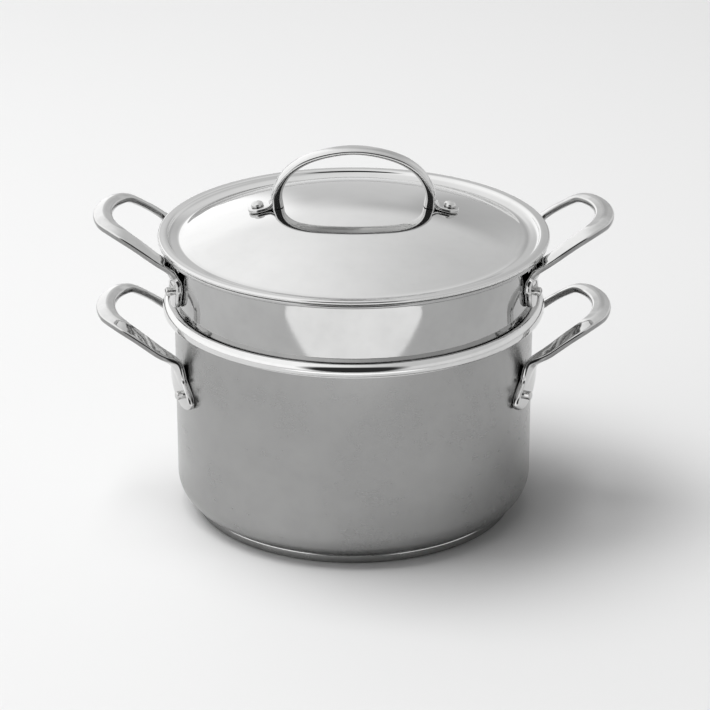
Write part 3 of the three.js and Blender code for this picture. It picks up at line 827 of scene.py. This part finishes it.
def archRings():
    top = archHandle["topWidth"], archHandle["topThickness"]
    leg = archHandle["legWidth"], archHandle["legThickness"]
    span = archHandle["span"]
    footHeight = domeHeight(span) + seatGap
    stations = [(Vector((span, 0, footHeight)), Vector((1, 0, 0)), *leg)]
    for out, height, lean, growth in archShape:
        tilt = math.radians(lean)
        stations.append((
            Vector((span * out, 0, domeHeight(0) + archHandle["height"] * height)),
            Vector((math.sin(tilt), 0, math.cos(tilt))),
            *[mixed(a, b, growth) for a, b in zip(top, leg)],
        ))
    points = bothHalves([station[0] for station in stations], 0)
    rings = []
    for centre, side, up, width, thickness in strapFrames(stations, points, archHandle["steps"], reach=0.5):
        onDome = 1 - smoothStep(centre.z - footHeight, 0, archHandle["footBlend"])
        edge = min(archHandle["edge"], thickness * archHandle["edgeShare"])
        ring = []
        for w, t in sectionPoints(width, thickness, edge):
            point = centre + side * w + up * t
            point.z += (domeHeight(math.hypot(point.x, point.y)) - domeHeight(span)) * onDome
            ring.append(point)
        rings.append(ring)
    return mirrorRings(rings, 0)


# A tab lies on the dome outside the rivet and turns up into the leg
def tabRings(sign):
    thick = archHandle["tabThickness"]
    stations = []
    for out, lift, lean, wide in tabShape:
        tilt = domeTilt(out) + math.radians(lean)
        stations.append((
            Vector((out * sign, 0, domeHeight(out) + seatGap + thick / 2 + lift)),
            Vector((math.sin(tilt) * sign, 0, math.cos(tilt))),
            archHandle["tabWidth"] * wide,
            thick,
        ))
    points = [station[0] for station in stations]
    edge = archHandle["tabEdge"]
    rings = []
    frames = strapFrames(stations, points, archHandle["tabSteps"], reach=1.0)
    for centre, side, up, width, thickness in frames:
        fromEnd = (centre - points[0]).length
        width *= roundEnd(fromEnd, archHandle["tabWidth"] / 2, least=0.003)
        thickness *= roundEnd(fromEnd, edge, least=0.02)
        section = sectionPoints(width, thickness, edge, archHandle["tabCrown"])
        rings.append([centre + side * w + up * t for w, t in section])
    return rings


def makeLidHandle():
    piece = tubeMesh("lidArch", [archRings(), tabRings(1), tabRings(-1)])
    dress(piece, ["strapSteel"], "lid", ["lid_handle"])


makeLid()
makeLidHandle()
print("lid and its handle made")


# Rivets: one turned rivet set at each place by Geometry Nodes
sideRivet = dict(radius=3.2, stand=4.9, headRadius=6.5, headHeight=1.6, headGap=0.5, endBend=0.28)
lidRivet = dict(radius=2.6, headRadius=4.6, headHeight=3.6, footHeight=1.6, domeShare=0.75)
headBend = 0.7  # share of a flat head's height that is rounded


def rivetTree():
    start, sockets, given = newTree("rivetSet", {
        "Rivet": "Object", "Turn": "Float", "Lean": "Float", "Reach": "Float", "Height": "Float",
        "Count": "Int", "Finish": "Material",
    })
    line = start.add("GeometryNodeMeshLine", None, {"Count": given["Count"]})
    number = start.add("GeometryNodeInputIndex")
    right = 1.0 - start.math("MODULO", number, 2.0) * 2.0
    back = 1.0 - start.math("FLOOR", number / 2.0) * 2.0
    halfTurn = (1.0 - right) * (math.pi / 2)
    turn = halfTurn + right * back * given["Turn"]
    across = given["Reach"] * start.math("COSINE", turn)
    along = given["Reach"] * start.math("SINE", turn)
    spot = start.join(across, along, given["Height"])
    points = start.add("GeometryNodeSetPosition", None, {"Geometry": line, "Position": spot})
    rivet = start.add("GeometryNodeObjectInfo", None, {"Object": given["Rivet"]}, "Geometry")
    facing = start.join(0.0, given["Lean"], turn)
    rivets = start.add(
        "GeometryNodeInstanceOnPoints", None, {"Points": points, "Instance": rivet, "Rotation": facing}
    )
    plain = start.add("GeometryNodeRealizeInstances", None, {"Geometry": rivets})
    dressed = start.add("GeometryNodeSetMaterial", None, {"Geometry": plain, "Material": given["Finish"]})
    start.add("NodeGroupOutput", None, {0: dressed})
    return start.tree, sockets


rivetNodes = rivetTree()


# The flat head inside a wall and the shank
def shankProfile(radius, inner, head, height):
    bend = height * headBend
    return [
        (0, inner - height),
        *arc(bend, head - bend, inner - height + bend, -90, 0, 6),
        (head, inner),
        (radius, inner),
    ]


# The bare outer end of a side rivet
def bluntEnd(radius, outer):
    edge = radius * sideRivet["endBend"]
    return [*arc(edge, radius - edge, outer - edge, 0, 90, 6), (0, outer)]


# The domed head of a lid rivet
def domedEnd(radius, outer, head, height, steps=10):
    dome = height * lidRivet["domeShare"]
    shoulder = outer + height - dome
    points = [(radius, outer), (head, outer), (head, shoulder)]
    for k in range(1, steps + 1):
        angle = math.radians(90 * k / steps)
        points.append((max(head * math.cos(angle), 0.0), shoulder + dome * math.sin(angle)))
    return points


def setRivets(name, profile, values, body, nodes):
    single = turnedPiece(name + "Single", profile, sides=32, sharp=40)
    piece = runTree(name, *rivetNodes, {"Rivet": single, "Finish": steels["rivetSteel"], **values})
    bpy.data.objects.remove(single)
    dress(piece, ["rivetSteel"], body, nodes)


def makeSideRivets(prefix, lug, sheet, body):
    radius, head = sideRivet["radius"], sideRivet["headRadius"]
    inner = math.sqrt((pot["radius"] - sheet) ** 2 - head ** 2) - sideRivet["headGap"]
    outer = lugFace + sideRivet["stand"] - inner
    profile = shankProfile(radius, 0.0, head, sideRivet["headHeight"]) + bluntEnd(radius, outer)
    corners = [side + "_" + end for side in ("right", "left") for end in ("front", "back")]
    setRivets(prefix + "Rivets", profile, {
        "Turn": math.radians(lug["angle"] + lug["rivetTurn"]), "Lean": math.pi / 2, "Reach": inner * mm,
        "Height": (lug["height"] - lug["rivetDrop"]) * mm, "Count": 4,
    }, body, [prefix + "_rivet_" + corner for corner in corners])


def makeLidRivets():
    radius, head, reach = lidRivet["radius"], lidRivet["headRadius"], archHandle["tabReach"]
    seat = archHandle["tabThickness"] + 2 * seatGap
    profile = shankProfile(radius, -lid["sheet"] - seatGap, head, lidRivet["footHeight"])
    profile += domedEnd(radius, seat, head, lidRivet["headHeight"])
    setRivets("lidRivets", profile, {
        "Turn": 0.0, "Lean": domeTilt(reach), "Reach": reach * mm, "Height": domeHeight(reach) * mm,
        "Count": 2,
    }, "lid", ["lid_rivet_right", "lid_rivet_left"])


makeSideRivets("pot", potLug, pot["wall"], "pot")
makeSideRivets("insert", insertLug, insert["sheet"], "insert")
makeLidRivets()
print("rivets made")


# Studio: pale floor, soft key from the back left, a low bounce card in front, and a room that is brighter
# at the left and dark round the camera. The room's pairs of limits are parts of a direction.
studio = dict(
    floorShade=(0.82, 0.82, 0.82), floorRough=0.55, floorShine=0.2, floorSize=6.0, floorDrop=0.0004,
    keyPower=95.0, keySize=2.2, keyPlace=(-1.15, 0.2, 3.35), keyAim=(0, 0, 0.1),
)
card = dict(width=0.78, depth=0.29, reach=-0.62, height=0.002, radiance=0.8)
room = dict(
    left=1.6, right=0.9, sweep=(-0.45, 0.45), lowLeft=1.7, lowRight=0.68, lowSweep=(-0.18, 0.08),
    lowTop=(0.36, 0.5), sideRight=1.1, sideSweep=(0.2, 0.5), horizon=0.88, horizonTop=(0.25, 0.5),
    horizonWidth=(0.004, 0.02), dark=0.04, darkEdge=(0.83, 0.93), spill=(0.66, 0.2), backdrop=0.95,
)
view = dict(
    distance=2.210, focal=150.19, sensor=36.0, farthest=50.0, elevation=22.45, target=(0.00103, 0.0, 0.1137),
)


def makeFloor():
    shape = bmesh.new()
    bmesh.ops.create_grid(shape, x_segments=2, y_segments=2, size=studio["floorSize"])
    mesh = bpy.data.meshes.new("floor")
    shape.to_mesh(mesh)
    shape.free()
    floor = bpy.data.objects.new("floor", mesh)
    floor.location.z = -studio["floorDrop"]
    bpy.context.scene.collection.objects.link(floor)
    material = bpy.data.materials.new("paleFloor")
    material.use_nodes = True
    shader = material.node_tree.nodes["Principled BSDF"]
    shader.inputs["Base Color"].default_value = (*studio["floorShade"], 1.0)
    shader.inputs["Roughness"].default_value = studio["floorRough"]
    shader.inputs["Specular IOR Level"].default_value = studio["floorShine"]
    mesh.materials.append(material)


def areaLamp(name, place, aim, width, depth, power, glossy):
    lamp = bpy.data.lights.new(name, "AREA")
    lamp.shape = "RECTANGLE"
    lamp.size, lamp.size_y = width, depth
    lamp.energy = power
    holder = bpy.data.objects.new(name, lamp)
    holder.location = place
    holder.rotation_euler = (Vector(aim) - Vector(place)).to_track_quat("-Z", "Y").to_euler()
    holder.visible_camera = False
    holder.visible_glossy = glossy
    bpy.context.scene.collection.objects.link(holder)


def makeLamps():
    size = studio["keySize"]
    areaLamp("keyLamp", studio["keyPlace"], studio["keyAim"], size, size, studio["keyPower"], False)
    width, depth, reach = card["width"], card["depth"], card["reach"]
    power = card["radiance"] * math.pi * width * depth
    areaLamp("bounceCard", (0.0, reach, card["height"]), (0.0, reach, 1.0), width, depth, power, True)


def makeRoom():
    world = bpy.data.worlds.new("room")
    bpy.context.scene.world = world
    world.use_nodes = True
    tree = world.node_tree
    tree.nodes.clear()
    start = Wire(tree)
    way = start.add("ShaderNodeTexCoord", out="Generated")
    x, y, z = (way.part(axis) for axis in range(3))
    lift = math.radians(view["elevation"])
    across = x.rise(*room["sweep"])
    high = mixed(room["left"], room["right"], across)
    low = mixed(room["lowLeft"], room["lowRight"], x.rise(*room["lowSweep"]))
    low = mixed(low, room["sideRight"], x.rise(*room["sideSweep"]))
    behind = (1.0 - z.rise(*room["horizonTop"])) * (1.0 - (x * x).rise(*room["horizonWidth"]))
    low = mixed(low, room["horizon"], behind)
    level = mixed(low, high, z.rise(*room["lowTop"]))
    toCamera = z * math.sin(lift) - y * math.cos(lift)
    level = mixed(level, room["dark"], toCamera.rise(*room["darkEdge"]))
    diffuse = start.add("ShaderNodeLightPath", out="Is Diffuse Ray")
    level = level * (1.0 - diffuse * (1.0 - mixed(*room["spill"], across)))
    seen = start.add("ShaderNodeLightPath", out="Is Camera Ray")
    level = mixed(level, room["backdrop"], seen)
    glow = start.add("ShaderNodeBackground", None, {"Strength": level})
    start.add("ShaderNodeOutputWorld", None, {"Surface": glow})


def makeCamera():
    lens = bpy.data.cameras.new("photoView")
    lens.lens = view["focal"]
    lens.sensor_width = view["sensor"]
    lens.clip_end = view["farthest"]
    camera = bpy.data.objects.new("photoView", lens)
    lift = math.radians(view["elevation"])
    target = Vector(view["target"])
    camera.location = target + view["distance"] * Vector((0, -math.cos(lift), math.sin(lift)))
    camera.rotation_euler = (math.pi / 2 - lift, 0, 0)
    bpy.context.scene.collection.objects.link(camera)
    bpy.context.scene.camera = camera


makeFloor()
makeLamps()
makeRoom()
makeCamera()
bpy.context.scene.view_settings.view_transform = "Standard"
print("studio made")

bpy.context.view_layer.update()
